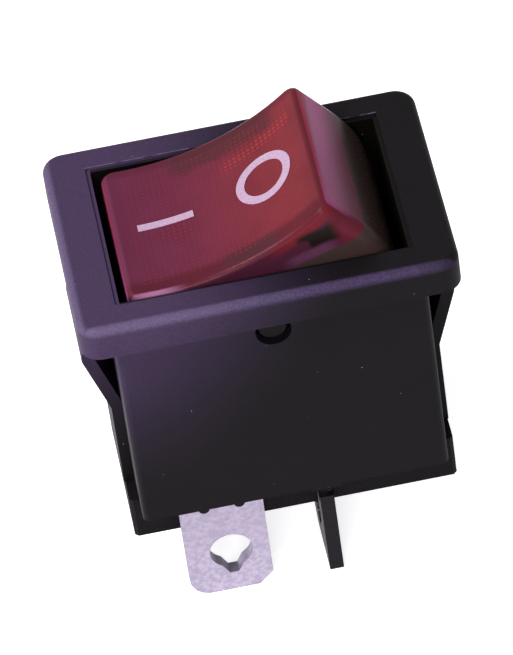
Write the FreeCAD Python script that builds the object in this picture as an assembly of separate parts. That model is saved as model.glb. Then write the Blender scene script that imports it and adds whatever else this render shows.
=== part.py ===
import FreeCAD, Part
import math
import os

from FreeCAD import Placement, Rotation, Vector

# Panel rocker switch with two poles and a lamp under its rocker.
# Millimetres. The origin is the centre of the bezel's underside, where it meets the panel.
# X runs along the bezel's long side, Y to the rear, and Z out of the panel.
# The switch is drawn with the I end of the rocker pressed, so its contacts are closed.

# Bezel and housing
BEZEL_HEIGHT = 2.05
BEZEL_OVERHANG_X = 1.85
BEZEL_OVERHANG_Y = 1.05
BEZEL_CORNER = 1.2
BEZEL_EDGE = 0.45
SIDE_WALL = 1.0
END_WALL = 0.7
BODY_CORNER = 0.4
LEDGE_WIDTH = 0.25
LEDGE_DEPTH = 0.13
LEDGE_CORNER = 0.2
LUG_RADIUS = 0.3
LUG_SPREAD = 1.0
LUG_INSET = 0.05
LIP_LENGTH = 1.7
LIP_HEIGHT = 0.2

# Snap wings on the short ends, given from the end wall's face
WING_WIDTH = 6.0
WING_THICKNESS = 0.7
WING_ROOT_Z = -7.9
WING_PEAK_Z = -4.0
WING_TOP_GAP = 0.75
WING_ROOT_OUT = 0.6
WING_PEAK_OUT = 1.8
WING_TOP_OUT = 0.9
WING_FOLD = 0.15
WING_RELIEF = 0.15
WING_RELIEF_GAP = 0.3

# Rocker, in its own upright frame with the pivot at the origin
PIVOT_Z = -1.3
THROW = 38.0
FLUSH_DROP = 0.045
ROCKER_SIDE_GAP = 0.15
ROCKER_END_GAP = 0.45
ROCKER_WALL = 0.95
SKIRT_RADIUS = 7.5
KNEE_Z = 2.6
END_LEAN = 1.055
TOP_SAG = 1.285
HEM_Z = -2.5
ROCKER_CORNER = 0.8
ROCKER_EDGE = 0.35
PIN_RADIUS = 0.95
PIN_GAP = 0.05
PIN_RECESS = 0.3
PIN_CHAMFER = 0.2
STOP_GAP = 0.03
STOP_LAP = 0.2
STOP_SLOPE = 1.3

# Barrels, plungers and springs
BARREL_BORE = 1.0
BARREL_WALL = 0.45
BARREL_ROOF = 1.12
NOSE_RADIUS = 0.6
NOSE_REACH = 7.6
NOSE_LENGTH = 2.3
NOSE_GAP = 0.03
PLUNGER_GAP = 0.05
PLUNGER_HEAD = 2.7
PLUNGER_NECK = 0.35
BARREL_COVER = 0.5
SPRING_WIRE = 0.15
SPRING_GAP = 0.08
SPRING_PLAY = 0.02
SPRING_TURNS = 6

# Contact bars and contacts
BAR_THROW = 18.0
BAR_WIDTH = 2.5
BAR_THICKNESS = 0.5
BAR_SLOPE = 37.0
BAR_FOLD = 0.45
SHOULDER_FOLD = 0.33
SADDLE_FLAT = 0.18
ARM_END = 0.8
CONTACT_RADIUS = 0.95
CONTACT_HEIGHT = 0.5
CONTACT_DROP = 0.5
CONTACT_DOME = 3.0
CONTACT_GAP = 0.02
SHANK_RADIUS = 0.45
LUG_LENGTH = 0.6
LUG_GAP = 0.05
LUG_END = 0.1
RIVET_SPREAD = 0.3
RIVET_HEIGHT = 0.2
CONTACT_EDGE = 0.1

# Terminals
STRIP = 0.8
TAB_WIDTH = 4.75
TAB_LENGTH = 4.75
TAB_CORNER = 1.2
TAB_CHAMFER = 0.85
COMMON_INSET = 1.325
LOAD_X = 1.7
EAR_WIDTH = 1.8
EAR_GAP = 0.25
EAR_HEIGHT = 0.35
LOAD_STEP = 2.3
LOAD_RUN_DEPTH = 1.6
LOAD_STRIP_WIDTH = 3.0
STRIP_FOLD = 0.2
SHELF_END = 1.0
TAB_ROOT = 1.0
EYELET_WIDTH = 2.46
EYELET_HEIGHT = 2.94
EYELET_DROP = 0.5
EYELET_OFFSET = 0.2
EYELET_NICK = 0.5

# Terminal base
CRADLE_DROP = 1.82
PLUG_HEIGHT = 2.7
RIM_HEIGHT = 2.8
RIM_OVERHANG = 0.55
RIM_CHAMFER = 0.2
PLUG_GAP = 0.05
SLOT_GAP = 0.05
SHELF_ROOM = 0.6
POCKET_DEPTH = 1.7
POCKET_GAP = 1.0
RIB = 0.8
POLE_GAP = 1.3
BARRIER_HEIGHT = 3.8
BARRIER_END_GAP = 1.95
POST_WIDTH = 0.8
POST_OUT = 0.3
LATCH_WIDTH = 3.0
LATCH_HEIGHT = 0.8
LATCH_DEPTH = 0.4
LATCH_RISE = 1.2

# Lamp and resistor, in the rocker's upright frame
LAMP_WALL = 0.3
LAMP_GAP = 0.25
LAMP_END_GAP = 1.4
LAMP_SEAL = 1.3
LAMP_Z = 0.9
ELECTRODE_GAP = 0.6
LEAD_RADIUS = 0.2
LEAD_Y = 0.5
LEAD_BEND = 0.35
LEAD_REACH = 0.6
YOKE_GAP = 0.05
YOKE_THICKNESS = 0.7
YOKE_INSET = 1.1
RESISTOR_END_GAP = 1.25
RESISTOR_SIDE_GAP = 0.05
RESISTOR_RADIUS = 0.85
RESISTOR_LENGTH = 3.2
RESISTOR_EDGE = 0.25
RESISTOR_LEAD = 0.8
RESISTOR_CAP = 0.88
RESISTOR_DIP = 0.17

# How near an edge lies to a face that it is picked by
SNAP = 0.01

# Places worked out from the sizes above
TILT = math.radians(THROW / 2)
BAR_TILT = math.radians(BAR_THROW / 2)
SLOPE = math.radians(BAR_SLOPE)
UP = Vector(0, 0, 1)
REAR = Vector(0, 1, 0)
RIGHT = Vector(1, 0, 0)

# Across the switch: two poles side by side, each as wide as its tab or its cradle
POLE_WIDTH = max(TAB_WIDTH, BAR_WIDTH + 2 * EAR_GAP + 2 * STRIP)
STRIP_Y = POLE_GAP / 2 + POLE_WIDTH
CAVITY_Y = STRIP_Y + SLOT_GAP
BODY_Y = CAVITY_Y + SIDE_WALL
BEZEL_Y = BODY_Y + BEZEL_OVERHANG_Y
ROCKER_Y = CAVITY_Y - ROCKER_SIDE_GAP
LANE_Y = STRIP_Y - STRIP - EAR_GAP - BAR_WIDTH / 2

# Down the switch: the bar hangs below the rocker's pivot, and the base lies below the bar
NOSE_CENTRE = NOSE_REACH - NOSE_RADIUS
NOSE_LIFT = BAR_THICKNESS / 2 + NOSE_GAP + NOSE_RADIUS
BAR_Z = PIVOT_Z - NOSE_CENTRE - NOSE_LIFT
BASE_TOP_Z = BAR_Z - CRADLE_DROP
BODY_DEPTH = PLUG_HEIGHT - BASE_TOP_Z
RIM_BOTTOM_Z = -BODY_DEPTH - RIM_HEIGHT
TAB_TIP_Z = RIM_BOTTOM_Z - TAB_LENGTH
LATCH_Z = LATCH_RISE - BODY_DEPTH
RIM_Y = STRIP_Y - STRIP
LOAD_RUN_Z = BASE_TOP_Z - STRIP / 2 - LOAD_RUN_DEPTH

# The plunger in its barrel, down from the rocker's pivot
BARREL_RADIUS = BARREL_BORE + BARREL_WALL
PLUNGER_SHOULDER_Z = NOSE_LENGTH - NOSE_REACH
PLUNGER_TOP_Z = PLUNGER_SHOULDER_Z + PLUNGER_HEAD
BARREL_END_Z = PLUNGER_SHOULDER_Z - BARREL_COVER

# The contact bar in its own level frame: the saddle keeps to the path of the plunger's nose
NOSE_X = NOSE_CENTRE * math.sin(TILT)
NOSE_Z = PIVOT_Z - NOSE_CENTRE * math.cos(TILT) - BAR_Z
PATH_X = NOSE_X * math.cos(BAR_TILT) - NOSE_Z * math.sin(BAR_TILT)
PATH_RISE = NOSE_X * math.sin(BAR_TILT) + NOSE_Z * math.cos(BAR_TILT) - NOSE_LIFT
SADDLE_RADIUS = (PATH_X**2 + PATH_RISE**2) / (2 * PATH_RISE) + NOSE_LIFT
SHOULDER_BEND = BAR_THICKNESS / 2 + SHOULDER_FOLD
SHOULDER_X = (SADDLE_RADIUS + SHOULDER_BEND) * math.sin(SLOPE) + SADDLE_FLAT * math.cos(SLOPE)
VALLEY_Z = SADDLE_RADIUS - SADDLE_RADIUS / math.cos(SLOPE)
SHOULDER_Z = VALLEY_Z + SHOULDER_X * math.tan(SLOPE)
ARM_Z = CONTACT_HEIGHT + BAR_THICKNESS / 2 - CONTACT_DROP
ARM_X = SHOULDER_X + (SHOULDER_Z - ARM_Z) / math.tan(SLOPE)
CONTACT_X = ARM_X + CONTACT_RADIUS

# The closed contacts touch at the lowest point of the tilted dome
DOME_Z = CONTACT_DOME - CONTACT_DROP
TOUCH_X = CONTACT_X * math.cos(BAR_TILT) + DOME_Z * math.sin(BAR_TILT)
TOUCH_Z = BAR_Z - CONTACT_X * math.sin(BAR_TILT) + DOME_Z * math.cos(BAR_TILT) - CONTACT_DOME - CONTACT_GAP
SHELF_X = TOUCH_X + SHELF_END
SHELF_Z = TOUCH_Z - CONTACT_HEIGHT - STRIP / 2

# Along the switch: the cavity takes the rocker or the contact shelf, whichever is longer
CAVITY_X = max(SKIRT_RADIUS + ROCKER_END_GAP, SHELF_X + SHELF_ROOM)
BODY_X = CAVITY_X + END_WALL
BEZEL_X = BODY_X + BEZEL_OVERHANG_X
RIM_X = BODY_X + RIM_OVERHANG
BARRIER_X = CAVITY_X - BARRIER_END_GAP
COMMON_X = COMMON_INSET + TAB_WIDTH / 2 - CAVITY_X
LOAD_RISER_X = LOAD_X + LOAD_STEP
KNEE_X = math.sqrt(SKIRT_RADIUS**2 - KNEE_Z**2)
HEM_X = math.sqrt(SKIRT_RADIUS**2 - HEM_Z**2)
RIDGE_X = KNEE_X - END_LEAN
RIDGE_Z = (BEZEL_HEIGHT - PIVOT_Z - FLUSH_DROP + RIDGE_X * math.sin(TILT)) / math.cos(TILT)
VALLEY_TOP_Z = RIDGE_Z - TOP_SAG
BARREL_TOP_Z = VALLEY_TOP_Z - ROCKER_WALL - BARREL_ROOF

# Inside the rocker: the lamp lies between the barrels, and the resistor beyond the lamp's leads
INNER_X = SKIRT_RADIUS - ROCKER_WALL
CEILING_Z = VALLEY_TOP_Z - ROCKER_WALL
RESISTOR_X = INNER_X - RESISTOR_END_GAP - RESISTOR_RADIUS
REAR_LEAD_X = RESISTOR_X - RESISTOR_RADIUS - RESISTOR_SIDE_GAP - LEAD_RADIUS
FRONT_LEAD_X = REAR_LEAD_X - LEAD_REACH
LAMP_RIGHT_X = FRONT_LEAD_X - LEAD_REACH
LAMP_LEFT_X = LAMP_END_GAP - INNER_X
LAMP_RADIUS = min(LANE_Y - BARREL_RADIUS - LAMP_GAP, CEILING_Z - LAMP_GAP - LAMP_Z)
LEAD_TOP_Z = BARREL_TOP_Z - LEAD_RADIUS - SLOT_GAP


def block(x0, x1, y0, y1, z0, z1):
    """A box between two corners."""
    return Part.makeBox(x1 - x0, y1 - y0, z1 - z0, Vector(x0, y0, z0))


def centred_block(length, width, z0, z1):
    """A box centred on the Z axis."""
    return block(-length / 2, length / 2, -width / 2, width / 2, z0, z1)


def across(x, z, radius, y0, y1):
    """A round bar along Y."""
    return Part.makeCylinder(radius, y1 - y0, Vector(x, y0, z), REAR)


def side_face(points):
    """A flat face in the XZ plane from its corners."""
    corners = [Vector(x, 0, z) for x, z in points]
    return Part.Face(Part.makePolygon(corners + corners[:1]))


def extrude_y(face, y0, y1):
    """A face of the XZ plane, drawn out along Y."""
    solid = face.extrude(Vector(0, y1 - y0, 0))
    solid.translate(Vector(0, y0, 0))
    return solid


def mirrored(shape):
    """The same piece on the rear side of the switch."""
    return shape.mirror(Vector(0, 0, 0), REAR)


def both_sides(shape):
    """A piece and its twin at the rear."""
    return [shape, mirrored(shape)]


def both_ends(shape):
    """A piece and its twin at the left end."""
    return [shape, shape.mirror(Vector(0, 0, 0), RIGHT)]


def edges_where(shape, test):
    """The edges whose middle point passes a test."""
    chosen = []
    for edge in shape.Edges:
        middle = edge.valueAt((edge.FirstParameter + edge.LastParameter) / 2)
        if test(middle):
            chosen.append(edge)
    return chosen


def upright_edges(shape, half_length, half_width):
    """The four upright edges of a centred block."""
    return edges_where(shape, lambda m: abs(m.x) + abs(m.y) > half_length + half_width - SNAP)


def bent_strip(points, bends, thickness):
    """The side face of a strip bent along a path; each inner point has its middle bend radius."""
    corners = [Vector(x, 0, z) for x, z in points]
    half = thickness / 2
    left, right = [], []

    def offset(point, direction, side):
        normal = Vector(-direction.z, 0, direction.x)
        return point + normal * (half * side)

    start = corners[0]
    for index in range(1, len(corners)):
        ahead = (corners[index] - corners[index - 1]).normalize()
        last = index == len(corners) - 1
        if last:
            end = corners[index]
        else:
            beyond = (corners[index + 1] - corners[index]).normalize()
            turn = ahead.getAngle(beyond)
            cut = bends[index - 1] * math.tan(turn / 2)
            end = corners[index] - ahead * cut
        for edges, side in ((left, 1), (right, -1)):
            run = Part.LineSegment(offset(start, ahead, side), offset(end, ahead, side))
            edges.append(run.toShape())
        if last:
            break
        start = corners[index] + beyond * cut
        spread = bends[index - 1] / math.cos(turn / 2)
        inward = (beyond - ahead).normalize()
        centre = corners[index] + inward * spread
        left_turn = ahead.x * beyond.z - ahead.z * beyond.x > 0
        for edges, side in ((left, 1), (right, -1)):
            radius = bends[index - 1] - half * side * (1 if left_turn else -1)
            middle = centre - inward * radius
            bend = Part.Arc(offset(end, ahead, side), middle, offset(start, beyond, side))
            edges.append(bend.toShape())
    caps = []
    for end in (0, -1):
        corner, opposite = left[end].Vertexes[end].Point, right[end].Vertexes[end].Point
        caps.append(Part.LineSegment(corner, opposite).toShape())
    return Part.Face(Part.Wire(Part.__sortEdges__(left + right + caps)))


def round_wire(points, bend, radius):
    """A round wire along straight runs joined by arcs."""
    corners = [Vector(*point) for point in points]
    edges = []
    start = corners[0]
    for index in range(1, len(corners) - 1):
        ahead = (corners[index] - corners[index - 1]).normalize()
        beyond = (corners[index + 1] - corners[index]).normalize()
        turn = ahead.getAngle(beyond)
        cut = bend * math.tan(turn / 2)
        end = corners[index] - ahead * cut
        edges.append(Part.LineSegment(start, end).toShape())
        start = corners[index] + beyond * cut
        spread = bend / math.cos(turn / 2)
        inward = (beyond - ahead).normalize()
        middle = corners[index] + inward * (spread - bend)
        edges.append(Part.Arc(end, middle, start).toShape())
    edges.append(Part.LineSegment(start, corners[-1]).toShape())
    first = (corners[1] - corners[0]).normalize()
    section = Part.Wire(Part.makeCircle(radius, corners[0], first))
    return Part.Wire(edges).makePipeShell([section], True, True)


def in_rocker(shape):
    """Turns a piece from the rocker's upright frame to its pressed place."""
    shape.Placement = Placement(Vector(0, 0, PIVOT_Z), Rotation(REAR, -THROW / 2)) * shape.Placement
    return shape


def in_bar(shape):
    """Turns a piece from a contact bar's level frame to its closed place."""
    shape.Placement = Placement(Vector(0, 0, BAR_Z), Rotation(REAR, BAR_THROW / 2)) * shape.Placement
    return shape


def make_bezel():
    """The rounded frame that lies on the panel."""
    bezel = centred_block(2 * BEZEL_X, 2 * BEZEL_Y, 0, BEZEL_HEIGHT)
    bezel = bezel.makeFillet(BEZEL_CORNER, upright_edges(bezel, BEZEL_X, BEZEL_Y))
    return bezel.makeFillet(BEZEL_EDGE, edges_where(bezel, lambda m: m.z > BEZEL_HEIGHT - SNAP))


def make_wing():
    """The sprung leaf at the right end, and the plate that it grows from."""
    half = WING_THICKNESS / 2
    root_x = BODY_X + WING_ROOT_OUT - half
    points = [
        (root_x, -BODY_DEPTH),
        (root_x, WING_ROOT_Z),
        (BODY_X + WING_PEAK_OUT - half, WING_PEAK_Z),
        (BODY_X + WING_TOP_OUT - half, -WING_TOP_GAP),
    ]
    bends = [half + WING_FOLD] * 2
    leaf = extrude_y(bent_strip(points, bends, WING_THICKNESS), -WING_WIDTH / 2, WING_WIDTH / 2)
    plate = block(CAVITY_X, root_x, -WING_WIDTH / 2, WING_WIDTH / 2, -BODY_DEPTH, WING_ROOT_Z)
    return leaf.fuse(plate)


def make_stop_rib():
    """A gusset on the right end wall that the rocker's hem comes down on."""
    low_x = HEM_X * math.cos(TILT) + HEM_Z * math.sin(TILT)
    low_z = PIVOT_Z - HEM_X * math.sin(TILT) + HEM_Z * math.cos(TILT) - STOP_GAP
    wall_x = CAVITY_X + END_WALL / 2
    tip_x = low_x - STOP_LAP
    face = side_face([(wall_x, low_z), (tip_x, low_z), (wall_x, low_z - STOP_SLOPE * (wall_x - tip_x))])
    return extrude_y(face, -CAVITY_Y - SIDE_WALL / 2, -CAVITY_Y + RIB)


def make_end_cuts():
    """At the right end: the hollow under the bezel that clears the wing, and the latch's window."""
    relief_y = WING_WIDTH / 2 + WING_RELIEF_GAP
    relief = block(BODY_X, BEZEL_X + 1, -relief_y, relief_y, -1, WING_RELIEF)
    latch_y = LATCH_WIDTH / 2 + SLOT_GAP
    latch_half = LATCH_HEIGHT / 2 + SLOT_GAP
    window_x = CAVITY_X + LATCH_DEPTH + SLOT_GAP
    window = block(BARRIER_X, window_x, -latch_y, latch_y, LATCH_Z - latch_half, LATCH_Z + latch_half)
    return [relief, window]


def make_ledge_cut():
    """The shallow sunk step round the opening, as a cutter."""
    ledge_x, ledge_y = CAVITY_X + LEDGE_WIDTH, CAVITY_Y + LEDGE_WIDTH
    cut = centred_block(2 * ledge_x, 2 * ledge_y, BEZEL_HEIGHT - LEDGE_DEPTH, BEZEL_HEIGHT + 1)
    return cut.makeFillet(LEDGE_CORNER, upright_edges(cut, ledge_x, ledge_y))


def make_housing():
    """Bezel, walls and snap wings, moulded in one piece and open below."""
    body = centred_block(2 * BODY_X, 2 * BODY_Y, -BODY_DEPTH, BEZEL_HEIGHT / 2)
    body = body.makeFillet(BODY_CORNER, upright_edges(body, BODY_X, BODY_Y))
    housing = make_bezel().fuse([body] + both_ends(make_wing()))
    cavity = centred_block(2 * CAVITY_X, 2 * CAVITY_Y, -BODY_DEPTH - 1, BEZEL_HEIGHT + 1)
    housing = housing.cut([cavity, make_ledge_cut()])
    for rib in both_sides(make_stop_rib()):
        housing = housing.fuse(both_ends(rib))
    housing = housing.cut(across(0, PIVOT_Z, PIN_RADIUS + PIN_GAP, -BODY_Y - 1, BODY_Y + 1))
    for cutter in make_end_cuts():
        housing = housing.cut(both_ends(cutter))
    left, right = LOAD_X - LIP_LENGTH / 2, LOAD_X + LIP_LENGTH / 2
    lip = block(left, right, -BODY_Y, -CAVITY_Y, -BODY_DEPTH - LIP_HEIGHT, -BODY_DEPTH)
    under_wall = both_sides(lip)
    for x in (COMMON_X - LUG_SPREAD, COMMON_X + LUG_SPREAD):
        under_wall += both_sides(across(x, -BODY_DEPTH, LUG_RADIUS, -BODY_Y + LUG_INSET, -CAVITY_Y))
    return housing.fuse(under_wall).removeSplitter()


def rocker_outline(hem_z):
    """The rocker's side face: hollow top, leaning ends, and skirts round the pivot."""
    hem_x = math.sqrt(SKIRT_RADIUS**2 - hem_z**2)
    middle_angle = (math.asin(KNEE_Z / SKIRT_RADIUS) + math.asin(hem_z / SKIRT_RADIUS)) / 2
    skirt_x = SKIRT_RADIUS * math.cos(middle_angle)
    skirt_z = SKIRT_RADIUS * math.sin(middle_angle)

    def at(x, z):
        return Vector(x, 0, z)

    edges = [
        Part.Arc(at(-RIDGE_X, RIDGE_Z), at(0, VALLEY_TOP_Z), at(RIDGE_X, RIDGE_Z)),
        Part.LineSegment(at(RIDGE_X, RIDGE_Z), at(KNEE_X, KNEE_Z)),
        Part.Arc(at(KNEE_X, KNEE_Z), at(skirt_x, skirt_z), at(hem_x, hem_z)),
        Part.LineSegment(at(hem_x, hem_z), at(-hem_x, hem_z)),
        Part.Arc(at(-hem_x, hem_z), at(-skirt_x, skirt_z), at(-KNEE_X, KNEE_Z)),
        Part.LineSegment(at(-KNEE_X, KNEE_Z), at(-RIDGE_X, RIDGE_Z)),
    ]
    return Part.Face(Part.Wire([edge.toShape() for edge in edges]))


def make_rocker_shell():
    """The rocker's thin shell, with round upright corners and a soft edge all round its top."""
    solid = extrude_y(rocker_outline(HEM_Z), -ROCKER_Y, ROCKER_Y)
    corners = edges_where(solid, lambda m: abs(m.y) > ROCKER_Y - SNAP and abs(m.x) > RIDGE_X)
    outer = solid.makeFillet(ROCKER_CORNER, corners)
    outer = outer.makeFillet(ROCKER_EDGE, edges_where(outer, lambda m: m.z > VALLEY_TOP_Z - SNAP))
    hollow = rocker_outline(HEM_Z - 2 * ROCKER_WALL).makeOffset2D(-ROCKER_WALL)
    return outer.cut(extrude_y(hollow, -ROCKER_Y + ROCKER_WALL, ROCKER_Y - ROCKER_WALL))


def make_barrel():
    """The front tube that holds a spring and a plunger, drawn solid."""
    height = CEILING_Z + ROCKER_WALL / 2 - BARREL_END_Z
    return Part.makeCylinder(BARREL_RADIUS, height, Vector(0, -LANE_Y, BARREL_END_Z))


def make_barrel_bore():
    """The front barrel's bore, and the slot in its right side where a lead comes in."""
    height = BARREL_TOP_Z - BARREL_END_Z + 1
    bore = Part.makeCylinder(BARREL_BORE, height, Vector(0, -LANE_Y, BARREL_END_Z - 1))
    half = LEAD_RADIUS + SLOT_GAP
    slot = block(0, BARREL_RADIUS + 1, -LANE_Y - half, -LANE_Y + half, BARREL_TOP_Z - 2 * half, BARREL_TOP_Z)
    return bore.fuse(slot)


def make_yoke(x):
    """A rib under the rocker's top that the lamp lies against, before the lamp's seat is cut."""
    rib = block(x - YOKE_THICKNESS / 2, x + YOKE_THICKNESS / 2, -LAMP_RADIUS, LAMP_RADIUS, LAMP_Z, RIDGE_Z)
    half_wall = rocker_outline(HEM_Z).makeOffset2D(-ROCKER_WALL / 2)
    return rib.common(extrude_y(half_wall, -LAMP_RADIUS, LAMP_RADIUS))


def make_rocker():
    """The translucent cap with its pivot pins, spring barrels and lamp yokes."""
    yokes = [make_yoke(x) for x in (LAMP_LEFT_X + YOKE_INSET, LAMP_RIGHT_X - YOKE_INSET)]
    rocker = make_rocker_shell().fuse(both_sides(make_barrel()) + yokes)
    seat_radius = LAMP_RADIUS + YOKE_GAP
    seat = Part.makeCylinder(seat_radius, LAMP_RIGHT_X - LAMP_LEFT_X, Vector(LAMP_LEFT_X, 0, LAMP_Z), RIGHT)
    rocker = rocker.cut([seat] + both_sides(make_barrel_bore()))
    pin_end = BODY_Y - PIN_RECESS
    pin = across(0, 0, PIN_RADIUS, -pin_end, -ROCKER_Y + ROCKER_WALL / 2)
    pin = pin.makeChamfer(PIN_CHAMFER, edges_where(pin, lambda m: m.y < -pin_end + SNAP))
    return in_rocker(rocker.fuse(both_sides(pin)).removeSplitter())


def make_plunger():
    """A turned bullet: a wide head that slides in the barrel, and a round nose."""
    head = BARREL_BORE - PLUNGER_GAP
    profile = [
        (0, -NOSE_CENTRE),
        (0, PLUNGER_TOP_Z),
        (head, PLUNGER_TOP_Z),
        (head, PLUNGER_SHOULDER_Z),
        (NOSE_RADIUS, PLUNGER_SHOULDER_Z - PLUNGER_NECK),
        (NOSE_RADIUS, -NOSE_CENTRE),
    ]
    bullet = side_face(profile).revolve(Vector(0, 0, 0), UP, 360)
    bullet = bullet.fuse(Part.makeSphere(NOSE_RADIUS, Vector(0, 0, -NOSE_CENTRE))).removeSplitter()
    bullet.translate(Vector(0, -LANE_Y, 0))
    return in_rocker(bullet)


def make_spring():
    """A round-wire coil between the plunger's head and the lead in the barrel's top."""
    coil_radius = BARREL_BORE - SPRING_GAP - SPRING_WIRE
    low = PLUNGER_TOP_Z + SPRING_WIRE + SPRING_PLAY
    high = LEAD_TOP_Z - LEAD_RADIUS - SPRING_WIRE - SPRING_PLAY
    helix = Part.makeHelix((high - low) / SPRING_TURNS, high - low, coil_radius)
    section = Part.Wire(Part.makeCircle(SPRING_WIRE, Vector(coil_radius, 0, 0), REAR))
    coil = Part.Wire(helix.Edges).makePipeShell([section], True, True)
    coil.translate(Vector(0, -LANE_Y, low))
    return in_rocker(coil)


def make_contact_bar():
    """A strip bent to a gull wing: a saddle for the plunger's nose and an arm on each side."""
    arm_bend = BAR_THICKNESS / 2 + BAR_FOLD
    points = [
        (-ARM_X - ARM_END, ARM_Z),
        (-ARM_X, ARM_Z),
        (-SHOULDER_X, SHOULDER_Z),
        (0, VALLEY_Z),
        (SHOULDER_X, SHOULDER_Z),
        (ARM_X, ARM_Z),
        (CONTACT_X + CONTACT_RADIUS, ARM_Z),
    ]
    bends = [arm_bend, SHOULDER_BEND, SADDLE_RADIUS, SHOULDER_BEND, arm_bend]
    front, back = -LANE_Y - BAR_WIDTH / 2, -LANE_Y + BAR_WIDTH / 2
    strip = extrude_y(bent_strip(points, bends, BAR_THICKNESS), front, back)
    half = LUG_LENGTH / 2
    lug_y = BAR_WIDTH / 2 + STRIP + LUG_END
    lugs = block(-half, half, -LANE_Y - lug_y, -LANE_Y + lug_y, -BAR_THICKNESS / 2, BAR_THICKNESS / 2)
    shank_foot = Vector(CONTACT_X, -LANE_Y, ARM_Z - BAR_THICKNESS)
    shank = Part.makeCylinder(SHANK_RADIUS, 2 * BAR_THICKNESS, shank_foot)
    return in_bar(strip.fuse(lugs).removeSplitter().cut(shank))


def make_moving_contact():
    """A silver rivet with a domed face, set through the bar's arm."""
    under, over = ARM_Z - BAR_THICKNESS / 2, ARM_Z + BAR_THICKNESS / 2
    head = Part.makeCylinder(CONTACT_RADIUS, CONTACT_DROP + under, Vector(CONTACT_X, -LANE_Y, -CONTACT_DROP))
    head = head.common(Part.makeSphere(CONTACT_DOME, Vector(CONTACT_X, -LANE_Y, DOME_Z)))
    shank = Part.makeCylinder(SHANK_RADIUS, BAR_THICKNESS, Vector(CONTACT_X, -LANE_Y, under))
    upset = Part.makeCone(
        SHANK_RADIUS + RIVET_SPREAD, SHANK_RADIUS, RIVET_HEIGHT, Vector(CONTACT_X, -LANE_Y, over)
    )
    return in_bar(head.fuse([shank, upset]).removeSplitter())


def make_fixed_contact():
    """A flat silver rivet set through the load terminal's shelf."""
    under = TOUCH_Z - CONTACT_HEIGHT
    head = Part.makeCylinder(CONTACT_RADIUS, CONTACT_HEIGHT, Vector(TOUCH_X, -LANE_Y, under))
    head = head.makeChamfer(CONTACT_EDGE, edges_where(head, lambda m: m.z > TOUCH_Z - SNAP))
    shank = Part.makeCylinder(SHANK_RADIUS, STRIP, Vector(TOUCH_X, -LANE_Y, under - STRIP))
    return head.fuse(shank).removeSplitter()


def eyelet(x, z_top):
    """The teardrop hole of a tab, with a small nick at its point, as a cutter along Y."""
    radius = EYELET_WIDTH / 2
    centre_z = z_top - radius
    tip_z = z_top - EYELET_HEIGHT
    nick = EYELET_NICK / 2
    face = side_face([(x - radius, centre_z), (x + radius, centre_z), (x + nick, tip_z), (x - nick, tip_z)])
    return extrude_y(face, -STRIP, STRIP).fuse(across(x, centre_z, radius, -STRIP, STRIP))


def make_tab(x, top_z):
    """A tab with its eyelet, cut off at the right corner of its tip."""
    half = TAB_WIDTH / 2
    tab = block(x - half, x + half, -STRIP / 2, STRIP / 2, TAB_TIP_Z, top_z)
    low_right = edges_where(tab, lambda m: m.z < TAB_TIP_Z + SNAP and m.x > x + half - SNAP)
    hole = eyelet(x + EYELET_OFFSET, RIM_BOTTOM_Z - EYELET_DROP)
    return tab.makeChamfer(TAB_CHAMFER, low_right).cut(hole)


def cradle_ear(y0, y1):
    """An upright ear with the notch that a lug of the contact bar rocks in."""
    half = EAR_WIDTH / 2
    ear = block(-half, half, y0, y1, BASE_TOP_Z, BAR_Z + EAR_HEIGHT)
    reach = math.hypot(LUG_LENGTH / 2, BAR_THICKNESS / 2) + LUG_GAP
    notch = across(0, BAR_Z, reach, y0, y1)
    mouth = block(-reach, reach, y0, y1, BAR_Z, BAR_Z + 2 * EAR_HEIGHT)
    return ear.cut(notch.fuse(mouth))


def make_common_terminal():
    """One folded strip: the left tab with a round outer corner, an upright wall, and the bar's cradle."""
    front, back = -STRIP_Y, -STRIP_Y + STRIP
    strip_top = BASE_TOP_Z + STRIP
    left = COMMON_X - TAB_WIDTH / 2
    tab = make_tab(COMMON_X, strip_top)
    low_left = edges_where(tab, lambda m: m.z < TAB_TIP_Z + SNAP and m.x < left + SNAP)
    tab = tab.makeFillet(TAB_CORNER, low_left)
    tab.translate(Vector(0, (front + back) / 2, 0))
    wall = block(left, EAR_WIDTH / 2, front, back, BASE_TOP_Z, strip_top)
    inner = -LANE_Y + BAR_WIDTH / 2 + EAR_GAP
    floor = block(-EAR_WIDTH / 2, EAR_WIDTH / 2, front, inner + STRIP, BASE_TOP_Z, strip_top)
    ears = [cradle_ear(-LANE_Y - BAR_WIDTH / 2 - EAR_GAP - STRIP, back), cradle_ear(inner, inner + STRIP)]
    return tab.fuse([wall, floor] + ears).removeSplitter()


def make_load_terminal():
    """A tab turned across the switch, and a stepped strip up to the fixed contact."""
    path = [
        (LOAD_X, RIM_BOTTOM_Z + TAB_ROOT / 2),
        (LOAD_X, LOAD_RUN_Z),
        (LOAD_RISER_X, LOAD_RUN_Z),
        (LOAD_RISER_X, SHELF_Z),
        (SHELF_X, SHELF_Z),
    ]
    half = LOAD_STRIP_WIDTH / 2
    strip = extrude_y(bent_strip(path, [STRIP / 2 + STRIP_FOLD] * 3, STRIP), -LANE_Y - half, -LANE_Y + half)
    tab = make_tab(0, RIM_BOTTOM_Z + TAB_ROOT)
    tab.rotate(Vector(0, 0, 0), UP, 90)
    tab.translate(Vector(LOAD_X, -STRIP_Y + TAB_WIDTH / 2, 0))
    shank = Part.makeCylinder(SHANK_RADIUS, 2 * STRIP, Vector(TOUCH_X, -LANE_Y, SHELF_Z - STRIP))
    return strip.fuse(tab).removeSplitter().cut(shank)


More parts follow.
